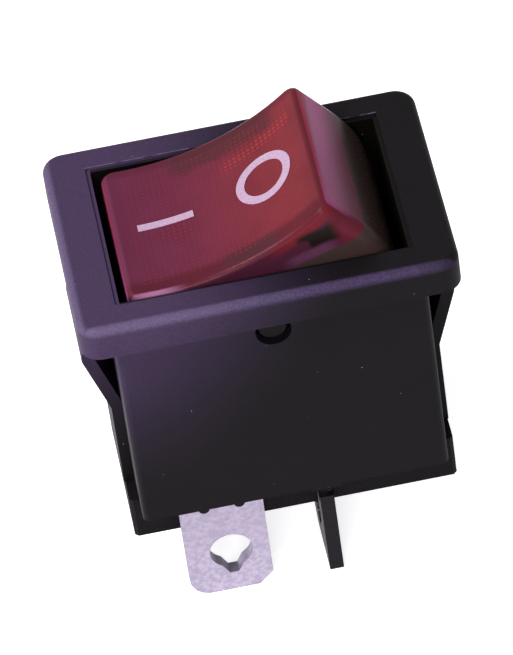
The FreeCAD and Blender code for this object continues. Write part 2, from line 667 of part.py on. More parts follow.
def make_pockets():
    """Hollows under the base, to the left of the load terminal's slot and to the right of it."""
    blade = STRIP / 2 + POCKET_GAP
    end_x = RIM_X - RIB
    middle_x = (LOAD_X - blade - end_x) / 2
    spans = [(-end_x, middle_x - RIB / 2), (middle_x + RIB / 2, LOAD_X - blade), (LOAD_X + blade, end_x)]
    low, high = RIM_BOTTOM_Z - 1, RIM_BOTTOM_Z + POCKET_DEPTH
    return [block(x0, x1, RIB - RIM_Y, -RIB / 2, low, high) for x0, x1 in spans]


def make_strip_channel():
    """The channel in the base that the load terminal's stepped strip drops into."""
    half = LOAD_STRIP_WIDTH / 2 + SLOT_GAP
    low, high = -LANE_Y - half, -LANE_Y + half
    close = STRIP / 2 + SLOT_GAP
    wide = close + STRIP_FOLD
    top = BASE_TOP_Z + 1
    riser = block(LOAD_X - close, LOAD_X + close, low, high, RIM_BOTTOM_Z - 1, LOAD_RUN_Z)
    run = block(LOAD_X - wide, LOAD_RISER_X + wide, low, high, LOAD_RUN_Z - wide, top)
    shelf = block(LOAD_RISER_X, SHELF_X + SLOT_GAP, low, high, SHELF_Z - STRIP / 2, top)
    return riser.fuse([run, shelf])


def make_rest_post():
    """The post that the contact bar's free arm comes down on when the contacts open."""
    end_x = ARM_X + ARM_END
    under = ARM_Z - BAR_THICKNESS / 2
    x = -end_x * math.cos(BAR_TILT) - under * math.sin(BAR_TILT)
    top = BAR_Z - end_x * math.sin(BAR_TILT) + under * math.cos(BAR_TILT) - STOP_GAP
    left = x - POST_OUT
    front, back = -LANE_Y - BAR_WIDTH / 2, -LANE_Y + BAR_WIDTH / 2
    return block(left, left + POST_WIDTH, front, back, BASE_TOP_Z - RIB, top)


def make_terminal_base():
    """The moulding that closes the housing and holds the four terminals."""
    plug_x, plug_y = CAVITY_X - PLUG_GAP, CAVITY_Y - PLUG_GAP
    plug = centred_block(2 * plug_x, 2 * plug_y, -BODY_DEPTH, BASE_TOP_Z)
    rim = centred_block(2 * RIM_X, 2 * RIM_Y, RIM_BOTTOM_Z, -BODY_DEPTH)
    rim = rim.makeChamfer(RIM_CHAMFER, upright_edges(rim, RIM_X, RIM_Y))
    barrier = centred_block(2 * BARRIER_X, RIB, BASE_TOP_Z - RIB, BASE_TOP_Z + BARRIER_HEIGHT)
    latch_x = CAVITY_X + LATCH_DEPTH
    latch = centred_block(2 * latch_x, LATCH_WIDTH, LATCH_Z - LATCH_HEIGHT / 2, LATCH_Z + LATCH_HEIGHT / 2)
    base = plug.fuse([rim, barrier, latch] + both_sides(make_rest_post()))
    tab_half = TAB_WIDTH / 2 + SLOT_GAP
    left, right = COMMON_X - tab_half, COMMON_X + tab_half
    tab_slot = block(left, right, -CAVITY_Y, -STRIP_Y + STRIP, -BODY_DEPTH - 1, BASE_TOP_Z + 1)
    close = STRIP / 2 + SLOT_GAP
    front, back = -STRIP_Y - SLOT_GAP, -STRIP_Y + TAB_WIDTH + SLOT_GAP
    blade_slot = block(LOAD_X - close, LOAD_X + close, front, back, RIM_BOTTOM_Z - 1, RIM_BOTTOM_Z + TAB_ROOT)
    for cutter in [tab_slot, blade_slot, make_strip_channel()] + make_pockets():
        base = base.cut(both_sides(cutter))
    return base.removeSplitter()


def make_lamp_leads():
    """Electrodes and leads, each one drawn wire that starts inside the bulb."""
    start_x = LAMP_LEFT_X + LAMP_RADIUS + ELECTRODE_GAP
    front = [
        (start_x, -LEAD_Y, LAMP_Z),
        (FRONT_LEAD_X, -LEAD_Y, LAMP_Z),
        (FRONT_LEAD_X, -LANE_Y, LEAD_TOP_Z),
        (-BARREL_BORE / 2, -LANE_Y, LEAD_TOP_Z),
    ]
    resistor_end = -RESISTOR_LENGTH / 2
    rear = [
        (start_x, LEAD_Y, LAMP_Z),
        (REAR_LEAD_X, LEAD_Y, LAMP_Z),
        (REAR_LEAD_X, resistor_end - RESISTOR_LEAD, LAMP_Z),
        (RESISTOR_X, resistor_end - RESISTOR_LEAD, LAMP_Z),
        (RESISTOR_X, resistor_end, LAMP_Z),
    ]
    return [round_wire(points, LEAD_BEND, LEAD_RADIUS) for points in (front, rear)]


def make_neon_glass(leads):
    """The bulb: a thin round-nosed tube, pinched solid where the leads come out."""
    nose = Vector(LAMP_LEFT_X + LAMP_RADIUS, 0, LAMP_Z)
    length = LAMP_RIGHT_X - nose.x
    outer = Part.makeCylinder(LAMP_RADIUS, length, nose, RIGHT).fuse(Part.makeSphere(LAMP_RADIUS, nose))
    bore = LAMP_RADIUS - LAMP_WALL
    inner = Part.makeCylinder(bore, length - LAMP_SEAL, nose, RIGHT).fuse(Part.makeSphere(bore, nose))
    return outer.removeSplitter().cut([inner] + leads)


def make_resistor():
    """The carbon film resistor's lacquered body, thicker over its end caps."""
    half = RESISTOR_LENGTH / 2
    cap = half - RESISTOR_CAP
    waist = RESISTOR_RADIUS - RESISTOR_DIP
    profile = [
        (0, -half),
        (RESISTOR_RADIUS - RESISTOR_EDGE, -half),
        (RESISTOR_RADIUS, -half + RESISTOR_EDGE),
        (RESISTOR_RADIUS, -cap),
        (waist, -cap + RESISTOR_EDGE),
        (waist, cap - RESISTOR_EDGE),
        (RESISTOR_RADIUS, cap),
        (RESISTOR_RADIUS, half - RESISTOR_EDGE),
        (RESISTOR_RADIUS - RESISTOR_EDGE, half),
        (0, half),
    ]
    corners = [Vector(RESISTOR_X + r, y, LAMP_Z) for r, y in profile]
    face = Part.Face(Part.makePolygon(corners + corners[:1]))
    return face.revolve(Vector(RESISTOR_X, 0, LAMP_Z), REAR, 360)


def make_resistor_lead():
    """The lead from the resistor to the rear barrel."""
    points = [
        (RESISTOR_X, RESISTOR_LENGTH / 2, LAMP_Z),
        (RESISTOR_X, LANE_Y, LAMP_Z),
        (REAR_LEAD_X, LANE_Y, LEAD_TOP_Z),
        (-BARREL_BORE / 2, LANE_Y, LEAD_TOP_Z),
    ]
    return round_wire(points, LEAD_BEND, LEAD_RADIUS)


def make_nodes():
    """Every separate piece of the switch, by name."""
    nodes = {
        "housing": make_housing(),
        "terminal_base": make_terminal_base(),
        "rocker": make_rocker(),
    }
    pairs = {
        "plunger": make_plunger(),
        "plunger_spring": make_spring(),
        "contact_bar": make_contact_bar(),
        "moving_contact": make_moving_contact(),
        "fixed_contact": make_fixed_contact(),
        "common_terminal": make_common_terminal(),
        "load_terminal": make_load_terminal(),
    }
    for name, shape in pairs.items():
        nodes[name + "_front"] = shape
        nodes[name + "_rear"] = mirrored(shape)
    leads = make_lamp_leads()
    nodes["neon_glass"] = in_rocker(make_neon_glass(leads))
    nodes["lamp_lead_front"] = in_rocker(leads[0])
    nodes["lamp_lead_rear"] = in_rocker(leads[1])
    nodes["resistor_body"] = in_rocker(make_resistor())
    nodes["resistor_lead"] = in_rocker(make_resistor_lead())
    return nodes


os.makedirs("parts", exist_ok=True)
for name, shape in make_nodes().items():
    shape.exportStep("parts/" + name + ".step")
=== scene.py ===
import math
import bpy
import numpy as np
from mathutils import Matrix, Vector


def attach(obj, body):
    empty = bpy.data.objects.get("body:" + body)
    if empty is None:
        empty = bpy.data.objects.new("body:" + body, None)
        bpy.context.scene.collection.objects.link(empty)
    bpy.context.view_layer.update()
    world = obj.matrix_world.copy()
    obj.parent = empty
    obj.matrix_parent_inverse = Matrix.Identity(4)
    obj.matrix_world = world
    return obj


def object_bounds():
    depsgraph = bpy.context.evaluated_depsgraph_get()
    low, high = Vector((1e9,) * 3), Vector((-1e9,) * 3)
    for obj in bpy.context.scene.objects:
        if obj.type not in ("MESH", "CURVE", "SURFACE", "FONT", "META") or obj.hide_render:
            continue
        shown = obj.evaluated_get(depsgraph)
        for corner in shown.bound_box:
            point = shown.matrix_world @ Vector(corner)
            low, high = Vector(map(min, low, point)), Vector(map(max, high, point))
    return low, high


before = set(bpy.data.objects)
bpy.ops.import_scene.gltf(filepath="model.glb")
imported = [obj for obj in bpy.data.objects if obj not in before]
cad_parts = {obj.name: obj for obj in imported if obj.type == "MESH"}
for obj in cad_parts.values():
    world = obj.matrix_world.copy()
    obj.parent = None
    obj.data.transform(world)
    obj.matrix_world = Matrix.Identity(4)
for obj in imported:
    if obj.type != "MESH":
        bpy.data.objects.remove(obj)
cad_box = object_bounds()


# The camera stands where the photograph's did, in front of the switch and above it, a little
# to its left, and turned so that the bezel climbs to the right. A long lens holds it far off.
MM = 0.001
CAMERA_PLACE = Vector((-17.10, -254.18, 230.72)) * MM
CAMERA_RIGHT = Vector((0.98039, -0.16494, -0.10780))
CAMERA_UP = Vector((0.19116, 0.66354, 0.72331))
CAMERA_BACK = Vector((-0.04777, -0.72974, 0.68206))
CAMERA_LENS = 345.0
SENSOR = 36.0

camera_data = bpy.data.cameras.new("camera")
camera_data.sensor_width = SENSOR
camera_data.lens = CAMERA_LENS
camera_data.clip_start = 0.01
camera_data.clip_end = 10
camera = bpy.data.objects.new("camera", camera_data)
bpy.context.scene.collection.objects.link(camera)
camera_turn = Matrix((CAMERA_RIGHT, CAMERA_UP, CAMERA_BACK)).transposed()
camera.matrix_world = Matrix.Translation(CAMERA_PLACE) @ camera_turn.to_4x4()
bpy.context.scene.camera = camera


# The studio: a plain pale sheet lies under the tips of the tabs, and the room beyond it is
# pale too. To the camera, in gloss and through clear plastic both are plain white.
FLOOR_HALF = 600 * MM
FLOOR_CLEARANCE = 0.05 * MM
FLOOR_COLOUR = (0.90, 0.89, 0.91)
FLOOR_ROUGHNESS = 0.9
FLOOR_LIFT = 0.72
ROOM_COLOUR = (0.80, 0.79, 0.86)
ROOM_STRENGTH = 0.34


def join(tree, source, target):
    """Runs a wire from one socket to another."""
    tree.links.new(source, target)


def add_math(tree, operation, first, second=None, third=None):
    """A Math node on sockets or plain numbers, and its result."""
    node = tree.nodes.new("ShaderNodeMath")
    node.operation = operation
    for socket, value in zip(node.inputs, (first, second, third)):
        if value is None:
            continue
        if isinstance(value, (int, float)):
            socket.default_value = value
        else:
            join(tree, value, socket)
    return node.outputs[0]


def scaled(tree, value, share, start=0.0):
    """A value times a share, added to a start."""
    return add_math(tree, "MULTIPLY_ADD", value, share, start)


def seen_in_white(tree):
    """1 for rays of the camera, of gloss and through clear plastic, and 0 for the light itself."""
    path = tree.nodes.new("ShaderNodeLightPath")
    seen = add_math(tree, "MAXIMUM", path.outputs["Is Camera Ray"], path.outputs["Is Glossy Ray"])
    return add_math(tree, "MAXIMUM", seen, path.outputs["Is Transmission Ray"])


floor_mesh = bpy.data.meshes.new("floor")
floor_z = cad_box[0][2] - FLOOR_CLEARANCE
corners = np.array([(-1, -1), (1, -1), (1, 1), (-1, 1)]) * FLOOR_HALF
floor_mesh.from_pydata([(x, y, floor_z) for x, y in corners.tolist()], [], [(0, 1, 2, 3)])
floor = bpy.data.objects.new("floor", floor_mesh)
bpy.context.scene.collection.objects.link(floor)

floor_finish = bpy.data.materials.new("floor_white")
floor_finish.use_nodes = True
floor_shader = floor_finish.node_tree.nodes["Principled BSDF"]
floor_shader.inputs["Base Color"].default_value = (*FLOOR_COLOUR, 1)
floor_shader.inputs["Roughness"].default_value = FLOOR_ROUGHNESS
floor_shader.inputs["Specular IOR Level"].default_value = 0.0
floor_shader.inputs["Emission Color"].default_value = (1, 1, 1, 1)
floor_tree = floor_finish.node_tree
lift = scaled(floor_tree, seen_in_white(floor_tree), FLOOR_LIFT)
join(floor_tree, lift, floor_shader.inputs["Emission Strength"])
floor_mesh.materials.append(floor_finish)

room = bpy.data.worlds.new("studio")
bpy.context.scene.world = room
room.use_nodes = True
room_tree = room.node_tree
room_light = room_tree.nodes["Background"]
room_light.inputs["Color"].default_value = (*ROOM_COLOUR, 1)
room_light.inputs["Strength"].default_value = ROOM_STRENGTH
room_white = room_tree.nodes.new("ShaderNodeBackground")
room_white.inputs["Color"].default_value = (1, 1, 1, 1)
room_mix = room_tree.nodes.new("ShaderNodeMixShader")
join(room_tree, seen_in_white(room_tree), room_mix.inputs["Fac"])
join(room_tree, room_light.outputs[0], room_mix.inputs[1])
join(room_tree, room_white.outputs[0], room_mix.inputs[2])
join(room_tree, room_mix.outputs[0], room_tree.nodes["World Output"].inputs["Surface"])
bpy.context.scene.view_settings.view_transform = "Standard"


def add_lamp(name, place, size, power, colour):
    """A square soft lamp, aimed at the middle of the bezel; places and sizes are in millimetres."""
    data = bpy.data.lights.new(name, "AREA")
    data.size = size * MM
    data.energy = power
    data.color = colour
    lamp = bpy.data.objects.new(name, data)
    place = Vector(place) * MM
    lamp.matrix_world = Matrix.Translation(place) @ (-place).to_track_quat("-Z", "Y").to_matrix().to_4x4()
    bpy.context.scene.collection.objects.link(lamp)


add_lamp("key", (-230, -90, 300), 170, 1.5, (1.0, 0.97, 1.0))
add_lamp("front", (-60, -330, 190), 150, 0.8, (1.0, 0.96, 1.0))


# The housing is one moulding of black glass-filled nylon: bezel, walls, and a sprung wing on
# each short end. Its skin has the fine grain of a spark-eroded mould and a little dust. Violet
# painted light fades from the bezel's left end down the walls, with painted highlights on the
# near and left top edges and the far lip of the opening, and painted shade in the opening's well.
NYLON_DARK = (0.0045, 0.0040, 0.0044)
NYLON_PALE = (0.0076, 0.0060, 0.0074)
CLOUD_SHARE = 0.35
NYLON_ROUGHNESS = 0.5
NYLON_LEFT_LIGHT = (0.058, 0.037, 0.083)
LEFT_LIGHT_X = (4.0, -8.5)
LEFT_LIGHT_SLANT = -0.5
LEFT_LIGHT_Z = (-13.0, 4.5)
NYLON_WELL_SHADE = (0.0035, 0.0032, 0.0022)
BEZEL_HEIGHT = 2.05
OPENING_HALF = (8.20, 5.70)
WELL_X = (0.27 - OPENING_HALF[0], OPENING_HALF[0] - 0.05)
WELL_Y = (OPENING_HALF[1], OPENING_HALF[1] - 0.1)
WELL_Z = (1.96, 1.9)
EDGE_Z = (BEZEL_HEIGHT - 0.62, BEZEL_HEIGHT - 0.62 / 3)
NEAR_EDGE_Y = (-6.95, -7.2)
LEFT_EDGE_X = (-9.95, -10.25)
EDGE_FADE_X = (10.2, 7.6)
EDGE_HIGHLIGHT_VIOLET = (0.118, 0.090, 0.165)
EDGE_HIGHLIGHT_PLUM = (0.058, 0.040, 0.092)
LIP_HIGHLIGHT_VIOLET = (0.15, 0.115, 0.19)
LIP_X = (8.3, 8.1)
LIP_Y = (OPENING_HALF[1] + 0.01, OPENING_HALF[1] + 0.06)
LIP_Z = (1.96, 2.02)
DUST_COLOUR = (0.55, 0.50, 0.60)
DUST_SIZE = 0.04
CREASE = math.radians(28)
WELD_REACH = 0.001 * MM


def new_group(name, inputs, outputs):
    """An empty shader node group with its named number sockets and their usual values."""
    group = bpy.data.node_groups.new(name, "ShaderNodeTree")
    for label, value in inputs:
        kind = "NodeSocketVector" if value is None else "NodeSocketFloat"
        socket = group.interface.new_socket(label, in_out="INPUT", socket_type=kind)
        if value is not None:
            socket.default_value = value
    for label in outputs:
        group.interface.new_socket(label, in_out="OUTPUT", socket_type="NodeSocketFloat")
    return group, group.nodes.new("NodeGroupInput").outputs, group.nodes.new("NodeGroupOutput").inputs


def add_noise(tree, place, scale, detail, roughness=0.5):
    """Soft noise from 0 to 1 at a place; the scale may be a number or a socket."""
    noise = tree.nodes.new("ShaderNodeTexNoise")
    join(tree, place, noise.inputs["Vector"])
    noise.inputs["Detail"].default_value = detail
    noise.inputs["Roughness"].default_value = roughness
    if isinstance(scale, (int, float)):
        noise.inputs["Scale"].default_value = scale
    else:
        join(tree, scale, noise.inputs["Scale"])
    return noise.outputs[0]


def add_ramp(tree, value, low, high):
    """0 below the low limit and 1 above the high one, with a smooth rise between them."""
    ramp = tree.nodes.new("ShaderNodeMapRange")
    ramp.interpolation_type = "SMOOTHSTEP"
    join(tree, value, ramp.inputs["Value"])
    for label, limit in (("From Min", low), ("From Max", high)):
        if isinstance(limit, (int, float)):
            ramp.inputs[label].default_value = limit
        else:
            join(tree, limit, ramp.inputs[label])
    return ramp.outputs[0]


def add_window(tree, value, low, high, soft):
    """1 between two limits and 0 outside them, with soft ends."""
    rise = add_ramp(tree, value, low - soft, low + soft)
    fall = add_ramp(tree, value, high + soft, high - soft)
    return add_math(tree, "MULTIPLY", rise, fall)


def place_group(tree, group, place, **values):
    """One use of a node group in a material, with its own values."""
    node = tree.nodes.new("ShaderNodeGroup")
    node.node_tree = group
    join(tree, place, node.inputs["Place"])
    for label, value in values.items():
        node.inputs[label].default_value = value
    return node.outputs


def make_moulded_grain():
    """Fine speckle and slow cloudiness of a moulded skin; Grain and Cloud run from 0 to 1."""
    values = [("Place", None), ("Grains", 9.0), ("Clouds", 0.35)]
    group, given, result = new_group("moulded_grain", values, ["Grain", "Cloud"])
    fine = add_noise(group, given["Place"], given["Grains"], 2.0, 0.6)
    slow = add_noise(group, given["Place"], given["Clouds"], 3.0, 0.55)
    join(group, add_ramp(group, fine, 0.3, 0.72), result["Grain"])
    join(group, add_ramp(group, slow, 0.3, 0.7), result["Cloud"])
    return group


def make_dust():
    """Scattered small specks: the middles of random cells, kept only where slow noise is high."""
    values = [("Place", None), ("Cells", 2.2), ("Size", 0.09)]
    group, given, result = new_group("dust", values, ["Speck"])
    cells = group.nodes.new("ShaderNodeTexVoronoi")
    join(group, given["Place"], cells.inputs["Vector"])
    join(group, given["Cells"], cells.inputs["Scale"])
    near = add_math(group, "LESS_THAN", cells.outputs["Distance"], given["Size"])
    patches = add_ramp(group, add_noise(group, given["Place"], 0.8, 2.0), 0.56, 0.62)
    join(group, add_math(group, "MULTIPLY", near, patches), result["Speck"])
    return group


def object_millimetres(tree, tilt=0.0, height=0.0):
    """Object coordinates in millimetres, turned back by a tilt about a pivot of the given height."""
    where = tree.nodes.new("ShaderNodeTexCoord")
    mapping = tree.nodes.new("ShaderNodeMapping")
    mapping.inputs["Scale"].default_value = (1 / MM, 1 / MM, 1 / MM)
    mapping.inputs["Rotation"].default_value = (0, tilt, 0)
    mapping.inputs["Location"].default_value = (-height * math.sin(tilt), 0, -height * math.cos(tilt))
    join(tree, where.outputs["Object"], mapping.inputs["Vector"])
    return mapping.outputs[0]


def new_finish(name, roughness, metallic=0.0, specular=0.5):
    """A material with one Principled shader and its plain settings."""
    finish = bpy.data.materials.new(name)
    finish.use_nodes = True
    shader = finish.node_tree.nodes["Principled BSDF"]
    shader.inputs["Roughness"].default_value = roughness
    shader.inputs["Metallic"].default_value = metallic
    shader.inputs["Specular IOR Level"].default_value = specular
    return finish, finish.node_tree, shader


def mix_colours(tree, share, first, second):
    """Two colours, each a plain one or a socket, mixed by a share from 0 to 1."""
    mix = tree.nodes.new("ShaderNodeMix")
    mix.data_type = "RGBA"
    if isinstance(share, (int, float)):
        mix.inputs[0].default_value = share
    else:
        join(tree, share, mix.inputs[0])
    for socket, colour in ((mix.inputs[6], first), (mix.inputs[7], second)):
        if isinstance(colour, tuple):
            socket.default_value = (*colour, 1)
        else:
            join(tree, colour, socket)
    return mix.outputs[2]


def add_bump(tree, shader, height, strength, depth):
    """Raises the surface by a height from 0 to 1; the depth is in millimetres."""
    bump = tree.nodes.new("ShaderNodeBump")
    bump.inputs["Strength"].default_value = strength
    bump.inputs["Distance"].default_value = depth * MM
    join(tree, height, bump.inputs["Height"])
    join(tree, bump.outputs[0], shader.inputs["Normal"])


def split_axes(tree, place):
    """The three coordinates of a place."""
    split = tree.nodes.new("ShaderNodeSeparateXYZ")
    join(tree, place, split.inputs[0])
    return split.outputs[0], split.outputs[1], split.outputs[2]


def product(tree, first, *others):
    """Several masks multiplied together."""
    for other in others:
        first = add_math(tree, "MULTIPLY", first, other)
    return first


def dress(name, finish):
    """Gives a CAD piece its finish, and shades its round faces smooth up to their creases."""
    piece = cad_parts[name]
    piece.data.materials.clear()
    piece.data.materials.append(finish)
    piece.data.polygons.foreach_set("use_smooth", [True] * len(piece.data.polygons))
    weld = piece.modifiers.new("joined_faces", "WELD")
    weld.merge_threshold = WELD_REACH
    crease = piece.modifiers.new("creases", "EDGE_SPLIT")
    crease.split_angle = CREASE
    normals = piece.modifiers.new("flat_faces_first", "WEIGHTED_NORMAL")
    normals.weight = 100
    normals.keep_sharp = True


moulded_grain = make_moulded_grain()
dust = make_dust()

nylon, tree, shader = new_finish("black_nylon", NYLON_ROUGHNESS, specular=0.05)
place = object_millimetres(tree)
skin = place_group(tree, moulded_grain, place, Grains=9.0, Clouds=0.3)
x, y, z = split_axes(tree, place)
across, along = add_math(tree, "ABSOLUTE", y), add_math(tree, "ABSOLUTE", x)
grains = scaled(tree, skin["Grain"], 1 - CLOUD_SHARE)
mottle = add_math(tree, "MULTIPLY_ADD", skin["Cloud"], CLOUD_SHARE, grains)
colour = mix_colours(tree, mottle, NYLON_DARK, NYLON_PALE)

# Painted light: a violet glow fades from the bezel's left end to the right and down the walls.
left = add_ramp(tree, add_math(tree, "MULTIPLY_ADD", z, LEFT_LIGHT_SLANT, x), *LEFT_LIGHT_X)
painted_left_light = product(tree, left, add_ramp(tree, z, *LEFT_LIGHT_Z), scaled(tree, skin["Grain"], 0.24, 0.86))
colour = mix_colours(tree, painted_left_light, colour, NYLON_LEFT_LIGHT)
# Painted shade darkens the well of the opening below the bezel's top.
well = product(
    tree,
    add_window(tree, x, *WELL_X, soft=0.05),
    add_ramp(tree, across, *WELL_Y),
    add_ramp(tree, z, *WELL_Z),
)
colour = mix_colours(tree, well, colour, NYLON_WELL_SHADE)

# A painted highlight on the near and left top edges: violet at the left end, plum further right, weaker
# at the right end.
painted_edge_highlight = product(
    tree,
    add_ramp(tree, z, *EDGE_Z),
    add_math(tree, "MAXIMUM", add_ramp(tree, y, *NEAR_EDGE_Y), add_ramp(tree, x, *LEFT_EDGE_X)),
    scaled(tree, skin["Grain"], 0.4, 0.55),
    scaled(tree, add_ramp(tree, x, *EDGE_FADE_X), 0.5, 0.5),
)
colour = mix_colours(tree, painted_edge_highlight, colour, mix_colours(tree, left, EDGE_HIGHLIGHT_PLUM, EDGE_HIGHLIGHT_VIOLET))
# A broken painted highlight along the far lip of the opening.
lip = product(
    tree,
    add_window(tree, y, *LIP_Y, soft=0.03),
    add_ramp(tree, along, *LIP_X),
    add_ramp(tree, z, *LIP_Z),
    add_ramp(tree, add_noise(tree, place, 1.6, 1.0), 0.30, 0.62),
)
colour = mix_colours(tree, lip, colour, LIP_HIGHLIGHT_VIOLET)
speck = place_group(tree, dust, place, Cells=1.7, Size=DUST_SIZE)["Speck"]
colour = mix_colours(tree, speck, colour, DUST_COLOUR)
join(tree, colour, shader.inputs["Base Color"])
add_bump(tree, shader, skin["Grain"], 0.35, 0.03)
dress("housing", nylon)


# The terminal base is a second black nylon moulding. It is pushed in from below until its two
# latches snap into the end walls, and it is plainer and duller than the housing.
BASE_DARK = (0.0035, 0.0030, 0.0036)
BASE_PALE = (0.0085, 0.0070, 0.0090)

base_nylon, tree, shader = new_finish("base_nylon", 0.62, specular=0.05)
place = object_millimetres(tree)
skin = place_group(tree, moulded_grain, place, Grains=7.0, Clouds=0.5)
colour = mix_colours(tree, skin["Grain"], BASE_DARK, BASE_PALE)
join(tree, colour, shader.inputs["Base Color"])
add_bump(tree, shader, skin["Grain"], 0.3, 0.02)
dress("terminal_base", base_nylon)


# The common terminals are folded brass strip with a dull bright tin plating. Each carries a
# contact bar in its cradle, and its flat tab hangs below the base with an eyelet for the wire.
TIN_PALE = (0.40, 0.365, 0.45)
TIN_DULL = (0.33, 0.290, 0.38)
TIN_SHADE_AND_SCRATCH = (0.30, 0.27, 0.34)
TIN_SHADE_Z = (-18.6, -16.9)


def make_patina():
    """Blotches of dull and bright plating with fine scratches, as a Blotch and a Scratch from 0 to 1."""
    values = [("Place", None), ("Blotches", 0.9), ("Scratches", 6.0)]
    group, given, result = new_group("patina", values, ["Blotch", "Scratch"])
    blotch = add_noise(group, given["Place"], given["Blotches"], 5.0, 0.65)
    turned = group.nodes.new("ShaderNodeMapping")
    turned.inputs["Rotation"].default_value = (0.3, 0.5, 0.2)
    turned.inputs["Scale"].default_value = (0.12, 1.0, 1.0)
    join(group, given["Place"], turned.inputs["Vector"])
    scratch = add_noise(group, turned.outputs[0], given["Scratches"], 2.0, 0.5)
    join(group, add_ramp(group, blotch, 0.38, 0.62), result["Blotch"])
    join(group, add_ramp(group, scratch, 0.62, 0.70), result["Scratch"])
    return group


patina = make_patina()

tin, tree, shader = new_finish("tin_plate", 0.38, metallic=1.0)
place = object_millimetres(tree)
marks = place_group(tree, patina, place, Blotches=3.2, Scratches=5.0)
colour = mix_colours(tree, marks["Blotch"], TIN_DULL, TIN_PALE)
x, y, z = split_axes(tree, place)
# Painted shade on the upper part of each tab under the housing; the same dark colour marks the scratches.
shaded = add_ramp(tree, z, *TIN_SHADE_Z)
colour = mix_colours(tree, scaled(tree, shaded, 0.25), colour, TIN_SHADE_AND_SCRATCH)
colour = mix_colours(tree, scaled(tree, marks["Scratch"], 0.5), colour, TIN_SHADE_AND_SCRATCH)
join(tree, colour, shader.inputs["Base Color"])
worn = scaled(tree, marks["Blotch"], -0.06, 0.62)
join(tree, worn, shader.inputs["Roughness"])
add_bump(tree, shader, marks["Blotch"], 0.2, 0.02)
for side in ("front", "rear"):
    dress("common_terminal_" + side, tin)


# The load terminals are stepped strips of the same brass with a dark skin, near black on the
# front and rear edge faces. Each tab is turned across the switch, and its shelf inside carries
# the fixed contact.
STRIP_DARK = (0.010, 0.008, 0.012)
STRIP_PALE = (0.040, 0.032, 0.046)
EDGE_FACE_BLACK = (0.006, 0.005, 0.007)
EDGE_FACE_Y = (5.30, 5.36)

dark_strip_finish, tree, shader = new_finish("dark_strip", 0.5, metallic=0.35, specular=0.12)
place = object_millimetres(tree)
marks = place_group(tree, patina, place, Blotches=1.4, Scratches=7.0)
x, y, z = split_axes(tree, place)
colour = mix_colours(tree, marks["Blotch"], STRIP_DARK, STRIP_PALE)
colour = mix_colours(tree, scaled(tree, marks["Scratch"], 0.5), colour, TIN_SHADE_AND_SCRATCH)
edge_faces = add_ramp(tree, add_math(tree, "ABSOLUTE", y), *EDGE_FACE_Y)
colour = mix_colours(tree, edge_faces, colour, EDGE_FACE_BLACK)
join(tree, colour, shader.inputs["Base Color"])
add_bump(tree, shader, marks["Blotch"], 0.3, 0.03)
for side in ("front", "rear"):
    dress("load_terminal_" + side, dark_strip_finish)


# The fixed and the moving contacts are rivets of fine silver, set cold through the strips. Their
# faces are bright where they meet and slightly tarnished round it.
SILVER_BRIGHT = (0.88, 0.86, 0.84)
SILVER_TARNISH = (0.52, 0.47, 0.42)


def bare_metal(name, roughness, colours, scales, bump):
    """A bare metal, dull and bright in blotches, with fine scratches that stand in its surface."""
    finish, tree, shader = new_finish(name, roughness, metallic=1.0)
    place = object_millimetres(tree)
    marks = place_group(tree, patina, place, Blotches=scales[0], Scratches=scales[1])
    join(tree, mix_colours(tree, marks["Blotch"], *colours), shader.inputs["Base Color"])
    add_bump(tree, shader, marks["Scratch"], *bump)
    return finish


silver = bare_metal("contact_silver", 0.3, (SILVER_TARNISH, SILVER_BRIGHT), (1.6, 9.0), (0.15, 0.01))
for side in ("front", "rear"):
    dress("fixed_contact_" + side, silver)
    dress("moving_contact_" + side, silver)


# The contact bars are bent from hard copper strip. Their ears rock in the cradles of the common
# terminals, and the plungers' noses slide along the valleys and polish them.
COPPER_BRIGHT = (0.93, 0.55, 0.38)
COPPER_DULL = (0.42, 0.20, 0.12)
POLISHED_X = (2.8, 1.6)

copper, tree, shader = new_finish("bar_copper", 0.34, metallic=1.0)
place = object_millimetres(tree)
marks = place_group(tree, patina, place, Blotches=1.0, Scratches=6.0)
x, y, z = split_axes(tree, place)
polished = add_ramp(tree, add_math(tree, "ABSOLUTE", x), *POLISHED_X)
bright = add_math(tree, "MAXIMUM", polished, scaled(tree, marks["Blotch"], 0.6))
colour = mix_colours(tree, bright, COPPER_DULL, COPPER_BRIGHT)
join(tree, colour, shader.inputs["Base Color"])
add_bump(tree, shader, marks["Scratch"], 0.15, 0.01)
for side in ("front", "rear"):
    dress("contact_bar_" + side, copper)


# The plungers are turned brass bullets, and each is pushed down on its contact bar by a coil of
# bright spring wire in the barrel above it.
BRASS_BRIGHT = (0.86, 0.66, 0.33)
BRASS_DULL = (0.50, 0.34, 0.14)
WIRE_BRIGHT = (0.62, 0.62, 0.65)
WIRE_DULL = (0.30, 0.30, 0.33)

brass = bare_metal("plunger_brass", 0.26, (BRASS_DULL, BRASS_BRIGHT), (1.2, 8.0), (0.2, 0.01))
wire = bare_metal("spring_wire", 0.28, (WIRE_DULL, WIRE_BRIGHT), (2.0, 8.0), (0.1, 0.005))
for side in ("front", "rear"):
    dress("plunger_" + side, brass)
    dress("plunger_spring_" + side, wire)


# The neon lamp is a clear glass bulb between the two barrels, with two wire electrodes. One of its
# tinned copper leads is held by the top of the front spring, and the other runs by way of the
# resistor to the top of the rear one.
GLASS_TINT = (0.93, 0.95, 0.94)
GLASS_SMOKE = (0.72, 0.70, 0.66)
LEAD_BRIGHT = (0.74, 0.73, 0.75)
LEAD_DULL = (0.44, 0.42, 0.44)

